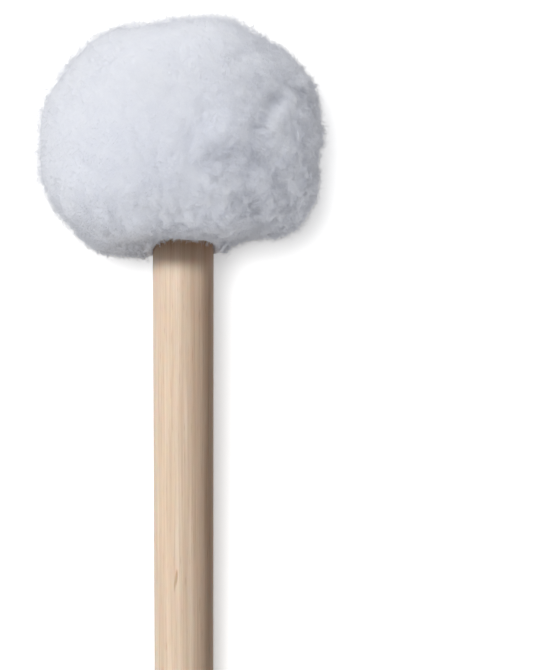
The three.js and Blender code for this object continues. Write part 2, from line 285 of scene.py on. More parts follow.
def axis_places(node):
    """How far each corner of a solid lies from the shaft's axis, and how high on it."""
    corners = np.array([vertex.co for vertex in frame["nodes"][node].data.vertices]) - butt_point
    heights = corners @ shaft_axis
    return np.linalg.norm(corners - heights[:, None] * shaft_axis, axis=1), heights


# Materials

def new_material(name, **values):
    """A material, its node tree and its shader, with values set on the shader's own sockets."""
    material = bpy.data.materials.new(name)
    material.use_nodes = True
    tree = material.node_tree
    shader = tree.nodes["Principled BSDF"]
    for socket, value in values.items():
        shader.inputs[socket.replace("_", " ")].default_value = value
    return material, tree, shader


def add_node(tree, kind, inputs=None, **settings):
    """A shader node with its settings, its inputs linked to other nodes or set to values."""
    node = tree.nodes.new("ShaderNode" + kind)
    for key, value in settings.items():
        setattr(node, key, value)
    for key, value in (inputs or {}).items():
        if isinstance(value, bpy.types.NodeSocket):
            tree.links.new(value, node.inputs[key])
        else:
            node.inputs[key].default_value = value
    return node


def add_ramp(tree, factor, stops):
    """A colour for each level of the factor, between stops of a position and a colour."""
    ramp = add_node(tree, "ValToRGB", {"Fac": factor})
    elements = ramp.color_ramp.elements
    while len(elements) < len(stops):
        elements.new(0.5)
    for element, (position, colour) in zip(elements, stops):
        element.position = position
        element.color = (*colour, 1)
    return ramp.outputs["Color"]


def grey(level):
    """A grey as a colour of three parts."""
    return (level, level, level)


def add_mix(tree, factor, first, second, blend="MIX"):
    """Mixes two colours. Its node has sockets for other kinds of value too, so they go by number."""
    mix = add_node(tree, "Mix", data_type="RGBA", blend_type=blend)
    for index, value in ((0, factor), (6, first), (7, second)):
        socket = mix.inputs[index]
        if isinstance(value, bpy.types.NodeSocket):
            tree.links.new(value, socket)
        else:
            socket.default_value = value
    return mix.outputs[2]


def stretched(tree, scale):
    """Coordinates along the shaft's own axes, with Z along the shaft, times a scale for each."""
    place = add_node(tree, "TexCoord").outputs["Object"]
    turned = add_node(tree, "Mapping", {"Vector": place, "Rotation": (math.pi / 2 - lean, 0, 0)})
    return add_node(tree, "Mapping", {"Vector": turned.outputs[0], "Scale": scale}).outputs[0]


def add_noise(tree, vector, scale, detail=3, roughness=0.5):
    """A noise texture's level, whose scale is in lumps to the metre."""
    values = {"Vector": vector, "Scale": scale, "Detail": detail, "Roughness": roughness}
    return add_node(tree, "TexNoise", values).outputs["Fac"]


def wood(name, pale, dark, shaded_side, hem_shadow, fleck, roughness):
    """Straight-grained wood: growth rings, streaks and lines along the grain, short pores and a few flecks.

    It is painted darker on its side away from the key light and below the hem: painted shade and shadow.
    """
    material, tree, shader = new_material(
        name, Coat_Weight=0.04, Coat_Roughness=0.5, Specular_IOR_Level=0.25,
        Subsurface_Weight=0.45, Subsurface_Radius=(1.0, 0.4, 0.2), Subsurface_Scale=2.2 * MM,
    )

    def grained(length_scale, **values):
        return add_noise(tree, stretched(tree, (1, 1, length_scale)), **values)

    rings_place = {"Vector": stretched(tree, (1, 1, 0.08)), "Location": (0.05, 0.03, 0)}
    rings_values = {
        "Vector": add_node(tree, "Mapping", rings_place).outputs[0],
        "Scale": 105, "Distortion": 2.5, "Detail": 2, "Detail Scale": 0.6,
    }
    rings = add_node(tree, "TexWave", rings_values, wave_type="RINGS", rings_direction="Z").outputs["Fac"]
    broad = grained(0.03, scale=260)
    streaks = grained(0.02, scale=1500, detail=5, roughness=0.65)
    lines = grained(0.012, scale=2400, roughness=0.6)
    pores = grained(0.04, scale=4200, detail=2)
    flecks = grained(0.16, scale=420, detail=2)
    tone = add_mix(tree, 0.35, add_ramp(tree, streaks, [(0.3, grey(0)), (0.7, grey(1))]), rings)
    tone = add_mix(tree, 0.35, tone, add_ramp(tree, broad, [(0.3, grey(0)), (0.7, grey(1))]))
    colour = add_ramp(tree, tone, [(0.1, dark), (0.75, pale)])
    pore_share = add_ramp(tree, pores, [(0.62, grey(0)), (0.72, grey(0.45))])
    colour = add_mix(tree, pore_share, colour, (*dark, 1), "MULTIPLY")
    grain = add_ramp(tree, lines, [(0.36, (0.88, 0.855, 0.83)), (0.64, (1, 1, 1))])
    colour = add_mix(tree, 1.0, colour, grain, "MULTIPLY")
    places = add_node(tree, "SeparateXYZ", {"Vector": stretched(tree, (1, 1, 1))}).outputs
    # The side of the shaft away from the key light is painted warmer and darker: painted shade.
    shaded_side_values = {
        "Value": places["X"], "From Min": butt.x + SHADED_SIDE_START, "From Max": butt.x + SHADED_SIDE_END,
    }
    shaded_side_share = add_node(tree, "MapRange", shaded_side_values).outputs[0]
    colour = add_mix(tree, shaded_side_share, colour, (*shaded_side, 1), "MULTIPLY")
    # The last of the shaft below the hem is painted browner and darker: the head's painted shadow.
    hem_shadow_values = {"Value": places["Z"], "From Min": hem_edge - HEM_SHADOW_LENGTH, "From Max": hem_edge}
    hem_shadow_share = add_node(tree, "MapRange", hem_shadow_values).outputs[0]
    colour = add_mix(tree, hem_shadow_share, colour, (*hem_shadow, 1), "MULTIPLY")
    fleck_share = add_ramp(tree, flecks, [(0.7, grey(0)), (0.76, grey(0.6))])
    colour = add_mix(tree, fleck_share, colour, (*fleck, 1))
    tree.links.new(colour, shader.inputs["Base Color"])
    rough_values = {"Value": streaks, "To Min": roughness + 0.08, "To Max": roughness - 0.08}
    rough = add_node(tree, "MapRange", rough_values)
    tree.links.new(rough.outputs[0], shader.inputs["Roughness"])
    bump = add_node(tree, "Bump", {"Height": pores, "Strength": 0.15, "Distance": 0.1 * MM})
    tree.links.new(bump.outputs[0], shader.inputs["Normal"])
    return material


def woolly(name, bright, shade, mottle, fine, depth):
    """Wool or felt: soft mottling, a fine fibrous bump, a sheen, and light that spreads inside it."""
    material, tree, shader = new_material(
        name, Roughness=0.95, Sheen_Weight=0.25, Sheen_Roughness=0.5, Specular_IOR_Level=0.15,
        Subsurface_Weight=0.5, Subsurface_Radius=(1.0, 1.0, 1.0), Subsurface_Scale=6 * MM,
    )
    place = add_node(tree, "TexCoord").outputs["Object"]
    patches = add_noise(tree, place, scale=mottle, detail=4, roughness=0.6)
    colour = add_ramp(tree, patches, [(0.3, shade), (0.65, bright)])
    tree.links.new(colour, shader.inputs["Base Color"])
    fibres = add_noise(tree, place, scale=fine, detail=8, roughness=0.65)
    bump = add_node(tree, "Bump", {"Height": fibres, "Strength": 0.5, "Distance": depth})
    tree.links.new(bump.outputs[0], shader.inputs["Normal"])
    return material


def plated(name, colour):
    """Zinc plating, with faint spangle and fine polishing lines."""
    material, tree, shader = new_material(name, Metallic=1.0)
    place = add_node(tree, "TexCoord").outputs["Object"]
    spangle = add_node(tree, "TexVoronoi", {"Vector": place, "Scale": 700}).outputs["Color"]
    tree.links.new(add_mix(tree, 0.12, (*colour, 1), spangle), shader.inputs["Base Color"])
    lines = add_noise(tree, stretched(tree, (1, 1, 0.1)), scale=3000)
    rough = add_node(tree, "MapRange", {"Value": lines, "To Min": 0.28, "To Max": 0.42})
    tree.links.new(rough.outputs[0], shader.inputs["Roughness"])
    return material


# The shaft's wood is painted warmer on its side away from the key light and browner below the hem, as shade.
hickory = wood(
    "hickory", pale=(0.83, 0.69, 0.555), dark=(0.7, 0.53, 0.385), shaded_side=(0.97, 0.86, 0.8),
    hem_shadow=(0.78, 0.66, 0.56), fleck=(0.45, 0.26, 0.13), roughness=0.58,
)
core_wood = wood(
    "core_wood", pale=(0.56, 0.39, 0.2), dark=(0.42, 0.27, 0.13), shaded_side=(1, 1, 1),
    hem_shadow=(1, 1, 1), fleck=(0.3, 0.17, 0.08), roughness=0.62,
)
# The skin under the fibres is painted a little darker than its fibres, as shade deep in the pile.
fleece = woolly("fleece", (0.8, 0.82, 0.88), (0.76, 0.78, 0.85), mottle=260, fine=800, depth=0.2 * MM)
# The fibres are painted a little lighter than the skin, as light that their tips catch.
fleece_tips = woolly(
    "fleece_tips", (0.85, 0.87, 0.93), (0.81, 0.83, 0.895), mottle=300, fine=2200, depth=0.1 * MM,
)
hard_felt = woolly("hard_felt", (0.7, 0.68, 0.61), (0.6, 0.58, 0.52), mottle=500, fine=2600, depth=0.08 * MM)
soft_felt = woolly(
    "soft_felt", (0.85, 0.84, 0.81), (0.76, 0.75, 0.71), mottle=400, fine=2000, depth=0.15 * MM,
)
cotton = woolly("cotton", (0.8, 0.78, 0.72), (0.66, 0.64, 0.58), mottle=900, fine=3000, depth=0.1 * MM)
zinc = plated("zinc", (0.62, 0.64, 0.66))


# The fleece cover

# Creases and tufts that the photograph shows on the side that faces up: the ends of each in its
# pixels, and the width and the height in millimetres.
FEATURES = [
    ((238, 64), (268, 44), 2.4, -0.9),
    ((258, 136), (276, 112), 2.6, -1.1),
    ((272, 108), (300, 94), 2.2, -0.8),
    ((298, 95), (314, 94), 1.6, -0.7),
    ((297, 96), (310, 76), 1.8, 0.8),
    ((272, 136), (296, 100), 1.8, 1.1),
    ((208, 124), (192, 152), 3.0, -0.9),
    ((206, 152), (234, 138), 4.0, 0.85),
    ((214, 166), (248, 156), 2.6, -0.9),
    ((256, 164), (250, 190), 2.6, -0.9),
    ((272, 160), (296, 166), 2.8, 0.5),
    ((262, 190), (276, 212), 3.0, 1.1),
    ((280, 190), (288, 216), 2.2, -0.9),
    ((222, 210), (258, 214), 2.4, -0.9),
    ((236, 224), (262, 226), 3.0, 0.5),
    ((186, 214), (206, 222), 2.4, -0.7),
    ((200, 228), (222, 236), 2.6, 0.7),
    ((296, 140), (306, 186), 2.4, -0.7),
    ((110, 224), (140, 236), 3.0, 0.7),
    ((118, 206), (150, 214), 3.0, -0.5),
    ((80, 190), (104, 214), 3.4, 0.5),
]

# Where the photograph's outline lies inside the solid's, in the same way, on both sides of the head.
TRIMS = [
    ((255, 32), (275, 45), 5.0, -1.0),
    ((95, 40), (110, 32), 4.0, 0.4),
    ((140, 16), (182, 12), 6.0, -1.0),
    ((104, 256), (140, 258), 4.0, 1.4),
    ((214, 254), (234, 248), 3.0, 1.3),
    ((294, 236), (312, 220), 4.0, -0.7),
    ((320, 165), (318, 205), 5.0, -1.0),
    ((50, 205), (72, 235), 5.0, -0.9),
    ((232, 250), (268, 244), 4.0, -1.6),
    ((150, 248), (212, 248), 2.5, -1.2),
]


def smoothstep(low, high, value):
    """Rises smoothly from 0 at low to 1 at high."""
    t = np.clip((value - low) / (high - low), 0, 1)
    return t * t * (3 - 2 * t)


def smoothed(values, passes):
    """Averages a polar grid's values with those beside them, round the axis and along it."""
    for _ in range(passes):
        values = (np.roll(values, 1, 1) + 2 * values + np.roll(values, -1, 1)) / 4
        wide = np.pad(values, ((1, 1), (0, 0)), mode="edge")
        values = (wide[:-2] + 2 * wide[1:-1] + wide[2:]) / 4
    return values


def outer_reach(solid, directions):
    """How far the solid's outside lies from the middle of the head in each direction."""
    far = 2 * (head_high - head_low).length
    reach = np.empty(directions.shape[:2])
    for i, ring in enumerate(directions):
        for j, direction in enumerate(ring):
            outward = Vector(direction)
            hit = solid.ray_cast(head_centre + outward * far, -outward)
            reach[i, j] = far - hit[3]
    return reach


def curliness(direction):
    """How tufted the pile is, up to 1, by the direction from the middle of the head."""
    towards = Vector(CURLY_TOWARDS).normalized()
    return LEAST_CURLY + (1 - LEAST_CURLY) * float(smoothstep(*CURLY_LIMITS, direction.dot(towards)))


def rounded_crease(level, rounding):
    """Rounded lumps parted by creases where the noise level passes zero."""
    return math.hypot(level, rounding) - CREASE_LEVEL


def tuft_height(point, direction):
    """The tufts of the pile: lumps, and rounded locks and curls parted by creases, in metres."""
    place = point / MM
    swirl = noise.noise_vector(place / SWIRL_SIZE) * SWIRL_REACH
    lumps = noise.noise((place + swirl) / LUMP_SIZE)
    locks = rounded_crease(noise.noise((place + swirl * LOCK_SWIRL) / LOCK_SIZE + LOCK_SHIFT), LOCK_ROUNDING)
    curls = rounded_crease(noise.noise((place + swirl) / CURL_SIZE + CURL_SHIFT), CURL_ROUNDING)
    frizz = noise.noise(place / FRIZZ_SIZE)
    relief = LEAST_RELIEF + (1 - LEAST_RELIEF) * curliness(direction)
    tufted = LUMP_HEIGHT * lumps + LOCK_HEIGHT * locks + CURL_HEIGHT * curls
    return (relief * tufted + FRIZZ_HEIGHT * frizz) * MM


def line_height(points, lines):
    """The rise of points near lines that are given by their ends in the photograph."""
    height = np.zeros(len(points))
    level = points[:, :2]
    for start, end, width, rise in lines:
        a, b = pixel_place(*start), pixel_place(*end)
        share = np.clip((level - a) @ (b - a) / ((b - a) @ (b - a)), 0, 1)
        distance = np.linalg.norm(level - a - share[:, None] * (b - a), axis=1)
        height += rise * MM * np.exp(-((distance / (width * MM)) ** 2))
    return height


def inner_profile(solid, mouth_height):
    """The pocket inside the cover: its radii and their heights, from the mouth up, and its top's height."""
    top = solid.ray_cast(head_centre, along)[3]
    above_mouth, below_top = POCKET_END_GAPS
    heights = np.linspace(mouth_height + above_mouth, top - below_top, INNER_RINGS)
    radii = [solid.ray_cast(head_centre + along * height, side)[3] for height in heights]
    return radii, heights, top


def pile_lift(points, directions, angles):
    """How far the pile's skin rises from the smoothed solid at each point."""
    curly = np.array([curliness(Vector(direction)) for direction in directions])
    lift = np.array([
        tuft_height(Vector(point), Vector(direction)) for point, direction in zip(points, directions)
    ])
    lift -= PILE_INSET * (LEAST_INSET + (1 - LEAST_INSET) * curly)
    lift += line_height(points, FEATURES) * smoothstep(0.0, FEATURE_FADE, points[:, 2] - head_centre.z)
    lift += line_height(points, TRIMS)
    lift -= HEM_TUCK * smoothstep(*np.radians(TUCK_ANGLES), np.repeat(angles, SIDES))
    ring_of = np.repeat(np.arange(OUTER_RINGS), SIDES)
    return lift * (1 - LIP_CALM * smoothstep(OUTER_RINGS * LIP_START_SHARE, OUTER_RINGS, ring_of))


def make_cover():
    """The fleece's skin: the outside by rays onto the solid, a round mouth, and the pocket inside."""
    solid = BVHTree.FromObject(frame["nodes"]["fleece_cover"], bpy.context.evaluated_depsgraph_get())
    angles = np.radians(np.linspace(0, MOUTH_ANGLE, OUTER_RINGS + 1))[1:]
    directions = ring_directions(angles, SIDES)
    reach = smoothed(outer_reach(solid, directions), SMOOTHING_PASSES)
    points = (head_point + directions * reach[:, :, None]).reshape(-1, 3)
    directions = directions.reshape(-1, 3)
    points += directions * pile_lift(points, directions, angles)[:, None]
    points[:, 2] = np.maximum(points[:, 2], TABLE_GAP)

    # The mouth is round, just clear of the shaft, and the pocket's rings follow it inside.
    heights = ((points[-SIDES:] - head_point) @ shaft_axis)[:, None]
    just_inside = float(heights.mean()) + POCKET_END_GAPS[0]
    bore = solid.ray_cast(head_centre + along * just_inside, side)[3]
    outward = circle_directions(SIDES)
    points[-SIDES:] = head_point + heights * shaft_axis + bore * outward
    radii, levels, top = inner_profile(solid, float(heights.max()))
    inner = [head_point + level * shaft_axis + radius * outward for radius, level in zip(radii, levels)]
    crown_point = points[:SIDES].mean(0)
    vertices = np.concatenate([points, *inner, [crown_point], [head_point + top * shaft_axis]])
    rings = OUTER_RINGS + INNER_RINGS
    faces = revolved_faces(rings, SIDES, rings * SIDES, rings * SIDES + 1)
    cover = add_piece("fleece_pile", vertices, faces, fleece)
    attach(cover, "root")
    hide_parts("fleece_cover")
    return cover


def spread_directions(count):
    """Directions spread evenly round the head from the crown to the mouth, each a golden angle on."""
    cosine = np.linspace(1, math.cos(math.radians(MOUTH_ANGLE)), count)
    sine = np.sqrt(1 - cosine**2)
    turn = np.arange(count) * GOLDEN_ANGLE
    shares = np.column_stack([sine * np.cos(turn), sine * np.sin(turn), cosine])
    return shares @ np.array([side_axis, up_axis, shaft_axis])


def across(vectors, ways):
    """What is left of vectors square to these ways, which are one long."""
    return vectors - (vectors * ways).sum(1, keepdims=True) * ways


def tuft_frames(cover, random):
    """Each tuft's root, the way it grows, the way it curls over, the way up its slope, how curly the pile is
    there, and whether it is one of the hem's.

    The skin's faces look inwards, so a face's normal and the way outward add up to a way that lies mostly
    along the skin and climbs its lumps. Tufts grow that way and gather on the lumps.
    """
    surface = BVHTree.FromObject(cover, bpy.context.evaluated_depsgraph_get())
    far = 2 * (head_high - head_low).length
    roots, climbs, combs, curly, hem = [], [], [], [], []
    for direction in unit(spread_directions(TUFTS) + TUFT_SCATTER * random.normal(size=(TUFTS, 3))):
        outward = Vector(direction)
        place, inward_normal, _, _ = surface.ray_cast(head_centre + outward * far, -outward)
        if place.z > LOWEST_ROOT:
            roots.append(place)
            climbs.append((inward_normal + outward).normalized())
            combs.append(noise.noise_vector(place / MM / COMB_SIZE))
            curly.append(curliness(outward))
            hem.append(outward.angle(along) > math.radians(HEM_ANGLE))
    roots, climbs, combs = np.array(roots), np.array(climbs), np.array(combs)
    count = len(roots)
    comb = across(COMB_PULL * combs + COMB_STRAY * random.normal(size=(count, 3)), climbs)
    curly = np.array(curly)[:, None]
    climbing = LEAST_CLIMB + (1 - LEAST_CLIMB) * curly
    stray = LEAN_STRAY * climbing * random.normal(size=(count, 3))
    grow = unit(climbing * climbs + COMB_LEAN * comb + stray)
    turn_to = across(comb + CURL_STRAY * random.normal(size=(count, 3)), grow)
    turn_to = unit(turn_to - CURL_OVER * across(climbs, grow))
    return roots, grow, unit(across(turn_to, grow)), climbs, curly, np.array(hem)


def graded(parts, share):
    """The first part, and the second times a share."""
    first, added = parts
    return first + added * share


def grow_fibres(cover, random):
    """Each fibre's places from root to tip, its directions there, the way square to its curl, its radius,
    whether it is one of the hem's, and how curly the pile is round it.

    The fibres of one tuft curl over together and draw in towards its tip. On the smooth side they are fewer
    and thinner, bend less and stray more.
    """
    parts = [np.repeat(part, FIBRES_PER_TUFT, 0) for part in tuft_frames(cover, random)]
    kept = random.random(len(parts[0])) < FEWEST + (1 - FEWEST) * parts[4][:, 0]
    roots, grow, turn_to, climbs, curly, hem = (part[kept] for part in parts)
    count = len(roots)
    loose = 1 - curly
    spread = across(random.normal(size=(count, 3)), grow) * TUFT_RADIUS * graded(SPREAD_PARTS, loose)
    aslant = across(random.normal(size=(count, 3)), climbs)
    grow = unit(grow + graded(SLANT_PARTS, loose) * aslant + GROW_STRAY * random.normal(size=(count, 3)))
    turn_to = across(turn_to + graded(TURN_PARTS, loose) * random.normal(size=(count, 3)), grow)
    turn_to = unit(across(turn_to - loose * (turn_to * climbs).sum(1, keepdims=True) * climbs, grow))
    bend = graded(BEND_PARTS, curly) * random.uniform(*BEND_SHARES, (count, 1))
    pile = FIBRE_LENGTH * np.where(hem, HEM_PILE, 1.0)[:, None]
    length = pile * random.uniform(*LENGTH_SHARES, (count, 1))
    length *= 1 + LONGER_SHARE * random.random((count, 1)) ** LONGER_RARITY
    path, tangents = [], []
    for share in FIBRE_SHARES:
        arc = length / bend * (np.sin(bend * share) * grow + (1 - np.cos(bend * share)) * turn_to)
        place = roots - FIBRE_SINK * grow + arc + spread * (1 - DRAWN_IN_SHARE * share)
        place[:, 2] = np.maximum(place[:, 2], 2 * TABLE_GAP)
        path.append(place)
        tangents.append(np.cos(bend * share) * grow + np.sin(bend * share) * turn_to)
    radius = FIBRE_RADIUS * (THINNEST + (1 - THINNEST) * curly)
    return path, tangents, np.cross(grow, turn_to), radius, hem, curly


def fibre_vertices(path, tangents, aside, radius):
    """The corners of each fibre: a ring of them at each level but the last, and the tip."""
    levels = len(FIBRE_THICKNESS_SHARES)
    vertices = np.empty((len(aside), levels * FIBRE_SIDES + 1, 3))
    for level, thickness in enumerate(FIBRE_THICKNESS_SHARES):
        other = np.cross(aside, tangents[level])
        for corner in range(FIBRE_SIDES):
            angle = FULL_TURN * corner / FIBRE_SIDES
            offset = radius * thickness * (math.cos(angle) * aside + math.sin(angle) * other)
            vertices[:, level * FIBRE_SIDES + corner] = path[level] + offset
    vertices[:, -1] = path[-1]
    return vertices


def fibre_pattern():
    """The triangles of one fibre: its root, its tip and its sides, by the numbers of its corners."""
    tip_ring = (len(FIBRE_THICKNESS_SHARES) - 1) * FIBRE_SIDES
    tip = tip_ring + FIBRE_SIDES
    besides = [(corner, (corner + 1) % FIBRE_SIDES) for corner in range(FIBRE_SIDES)]
    pattern = [(0, *reversed(range(1, FIBRE_SIDES)))]
    pattern += [(tip_ring + corner, tip_ring + beside, tip) for corner, beside in besides]
    for low in range(0, tip_ring, FIBRE_SIDES):
        high = low + FIBRE_SIDES
        for corner, beside in besides:
            pattern.append((low + corner, low + beside, high + beside))
            pattern.append((low + corner, high + beside, high + corner))
    return np.array(pattern)


def give_fibre_map(piece, count):
    """A texture map with a cell of its own for each fibre."""
    cells = math.ceil(math.sqrt(count))
    rows, columns = np.divmod(np.arange(count), cells)
    side_margin, end_margin = CELL_MARGIN_SHARES
    levels = len(FIBRE_THICKNESS_SHARES)
    across_cell = np.append(np.tile(np.linspace(side_margin, 1 - side_margin, FIBRE_SIDES), levels), 0.5)
    up_cell = end_margin + (1 - 2 * end_margin) * np.repeat(FIBRE_SHARES, [FIBRE_SIDES] * levels + [1])
    places = np.stack([columns[:, None] + across_cell, rows[:, None] + up_cell], -1).reshape(-1, 2) / cells
    corners = np.empty(len(piece.data.loops), int)
    piece.data.loops.foreach_get("vertex_index", corners)
    piece.data.uv_layers.new(name="OFBake").data.foreach_set("uv", places[corners].ravel())


def make_fibres(cover, random):
    """The fibres in pieces. Only the first pieces cast shadows: they hold the hem's fibres and a share of the
    others. With a shadow from every fibre the pile would turn dark and speckled."""
    path, tangents, aside, radius, hem, curly = grow_fibres(cover, random)
    vertices = fibre_vertices(path, tangents, aside, radius)
    pattern = fibre_pattern()
    least, most = SHADING_SHARES
    shading = hem | (random.random(len(vertices)) < least + (most - least) * curly[:, 0])
    order = np.argsort(~shading, kind="stable")
    dark_pieces = round(shading.mean() * FIBRE_PIECES)
    made = []
    for index, picked in enumerate(np.array_split(order, FIBRE_PIECES)):
        part = vertices[picked]
        faces = (np.arange(len(part))[:, None, None] * part.shape[1] + pattern).reshape(-1, 3)
        fibres = add_piece(f"fleece_fibres_{index + 1}", part.reshape(-1, 3), faces.tolist(), fleece_tips)
        fibres.visible_shadow = index < dark_pieces
        give_fibre_map(fibres, len(part))
        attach(fibres, "root")
        made.append(fibres)
    return made


fleece_pile = make_cover()
fleece_pieces = [fleece_pile, *make_fibres(fleece_pile, np.random.default_rng(FIBRE_SEED))]


# The shaft

def catmull_rom(points, steps):
    """A smooth curve through points, with more points between them."""
    points = np.array([2 * points[0] - points[1], *points, 2 * points[-1] - points[-2]])
    made = []
    for a, b, c, d in zip(points, points[1:], points[2:], points[3:]):
        for t in np.arange(steps) / steps:
            quadratic, cubic = 2 * a - 5 * b + 4 * c - d, 3 * b - a - 3 * c + d
            made.append(0.5 * (2 * b + (c - a) * t + quadratic * t * t + cubic * t**3))
    made.append(points[-2])
    return np.array(made)


def shaft_outline():
    """The turned outline from the butt's middle to the tenon's, as radii and heights on the axis."""
    radii, heights = axis_places("shaft")
    rings = sorted({(round(float(h), 5), round(float(r), 5)) for h, r in zip(heights, radii)})
    widest = {}
    for height, radius in rings:
        widest[height] = max(radius, widest.get(height, 0))
    shoulder = max(height for height, radius in widest.items() if radius > LEAST_BODY_RADIUS)
    rim = [(radius, height) for height, radius in rings if height <= BUTT_FLATNESS and radius > 0]
    body = [(radius, height) for height, radius in widest.items() if BUTT_FLATNESS < height <= shoulder]
    tenon = [(radius, height) for height, radius in rings if height >= shoulder and radius < widest[shoulder]]
    tenon_radius = max(radius for radius, _ in tenon)
    tenon_top = max(height for _, height in tenon)
    return np.array([
        (0, 0), *catmull_rom(np.array(rim + body), PROFILE_STEPS), (tenon_radius, shoulder),
        (tenon_radius, tenon_top - TENON_CHAMFER), (tenon_radius - TENON_CHAMFER, tenon_top), (0, tenon_top),
    ])


def make_shaft():
    """The shaft, turned from its outline."""
    outward = circle_directions(SHAFT_SIDES)
    outline = shaft_outline()
    rings = [butt_point + height * shaft_axis + radius * outward for radius, height in outline[1:-1]]
    ends = [butt_point + height * shaft_axis for _, height in outline[[0, -1]]]
    start = len(rings) * SHAFT_SIDES
    faces = revolved_faces(len(rings), SHAFT_SIDES, start, start + 1)
    piece = add_piece("turned_shaft", np.concatenate([*rings, ends]), faces, hickory)
    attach(piece, "root")
    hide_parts("shaft")


make_shaft()


# What the head hides

SOLID_MATERIALS = {"head_core": core_wood, "retaining_washer": zinc, "retaining_screw": zinc}

# The pads: each one's solid, name, material, slot, how deep its faces are pitted, and how tight it is.
PADS = [
    ("upper_felt", "upper_felt_pad", hard_felt, "hard_felt", FELT_PITS, 1.0),
    ("lower_felt", "lower_felt_pad", hard_felt, "hard_felt", FELT_PITS, 1.0),
    ("liner", "soft_liner", soft_felt, "soft_felt", LINER_PITS, 0.8),
]


def dress_solids():
    """Gives the solids that stay as they are their materials."""
    for node, material in SOLID_MATERIALS.items():
        for material_slot in frame["nodes"][node].material_slots:
            material_slot.material = material


def finish_felt(piece, node):
    """Says what a felt piece rides on, and hides the solid that it stands for."""
    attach(piece, "root")
    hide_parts(node)


def pitted(points, normals, depth):
    """Points sunk a little into their surface, unevenly, as pressed wool is."""
    levels = np.array([sum(noise.noise(Vector(point) / MM / size) for size in PIT_SIZES) for point in points])
    depths = depth * np.clip(MEAN_PIT + PIT_SWING * levels, 0, DEEPEST_PIT)
    return points - normals * depths[:, None]


def make_pad(node, name, material, slot, depth, fill):
    """A felt part shaped as its solid is, with its edges rounded over and its faces pitted."""
    solid = frame["nodes"][node]
    piece = bpy.data.objects.new(name, solid.data.copy())
    bpy.context.scene.collection.objects.link(piece)
    remesh = piece.modifiers.new("even_faces", "REMESH")
    remesh.mode = "VOXEL"
    remesh.voxel_size = PAD_VOXEL
    rounding = piece.modifiers.new("rounded_edges", "SMOOTH")
    rounding.iterations = PAD_ROUNDING
    depsgraph = bpy.context.evaluated_depsgraph_get()
    mesh = bpy.data.meshes.new_from_object(piece.evaluated_get(depsgraph))
    piece.modifiers.clear()
    points = np.array([vertex.co for vertex in mesh.vertices])
    normals = np.array([vertex.normal for vertex in mesh.vertices])
    mesh.vertices.foreach_set("co", pitted(points, normals, depth).ravel())
    mesh.materials.clear()
    mesh.materials.append(material)
    mesh.shade_smooth()
    mesh.update()
    piece.data = mesh
    finish_felt(piece, node)


def make_wrap():
    """The strip of hard felt, wound on the core as its solid is, with both of its ends skived thin."""
    reaches, heights = axis_places("felt_wrap")
    inner, outer = reaches.min() + FELT_INSET, reaches.max() - FELT_INSET
    low, high = heights.min() + FELT_INSET, heights.max() - FELT_INSET
    pitch = STRIP_THICKNESS + STRIP_GAP
    turns = (outer - inner + STRIP_GAP) / pitch
    thin = FULL_TURN * (STRIP_GAP + STRIP_SKIVED) / pitch
    turn = np.linspace(thin, FULL_TURN * (turns + 1) - thin, STRIP_RINGS)
    spiral = inner - pitch + pitch * turn / FULL_TURN
    near, far = np.maximum(spiral, inner), np.minimum(spiral + STRIP_THICKNESS - FELT_INSET, outer)
    rise = np.linspace(-1, 1, STRIP_ROWS)
    bulge = 1 - np.abs(rise) ** STRIP_SQUARENESS
    share = np.concatenate([0.5 - 0.5 * bulge, 0.5 + 0.5 * bulge[::-1]])
    level = (low + high) / 2 + (high - low) / 2 * np.concatenate([rise, rise[::-1]])
    radii = near[:, None] + (far - near)[:, None] * share[None]
    outward = np.cos(turn)[:, None] * side_axis - np.sin(turn)[:, None] * up_axis
    points = butt_point + radii[:, :, None] * outward[:, None] + level[None, :, None] * shaft_axis
    across_strip = np.where(share < 0.5, -1, 1)[None, :, None] * outward[:, None]
    points = pitted(points.reshape(-1, 3), across_strip.reshape(-1, 3), FELT_INSET)
    piece = add_piece("wound_felt", points, tube_faces(0, STRIP_RINGS, 2 * STRIP_ROWS, False), hard_felt)
    finish_felt(piece, "felt_wrap")


def tube_rings(path, radius, sides):
    """Rings of points round a path, each square to it."""
    ahead = unit(np.gradient(path, axis=0))
    start = shaft_axis + RING_SLANT * side_axis
    beside = unit(across(np.tile(start, (len(path), 1)), ahead))
    other = np.cross(ahead, beside)
    angles = np.arange(sides) * FULL_TURN / sides
    rings = np.cos(angles)[None, :, None] * beside[:, None] + np.sin(angles)[None, :, None] * other[:, None]
    return (path[:, None] + radius * rings).reshape(-1, 3)


def tube_faces(first, rings, sides, closed):
    """The faces of a tube of rings whose points start at first, with its ends capped or joined."""
    def ring(i):
        return first + (i % rings) * sides

    faces = [
        (ring(i) + j, ring(i) + (j + 1) % sides, ring(i + 1) + (j + 1) % sides, ring(i + 1) + j)
        for i in range(rings if closed else rings - 1) for j in range(sides)
    ]
    if not closed:
        faces.append(tuple(reversed(range(first, first + sides))))
        faces.append(tuple(range(first + (rings - 1) * sides, first + rings * sides)))
    return faces


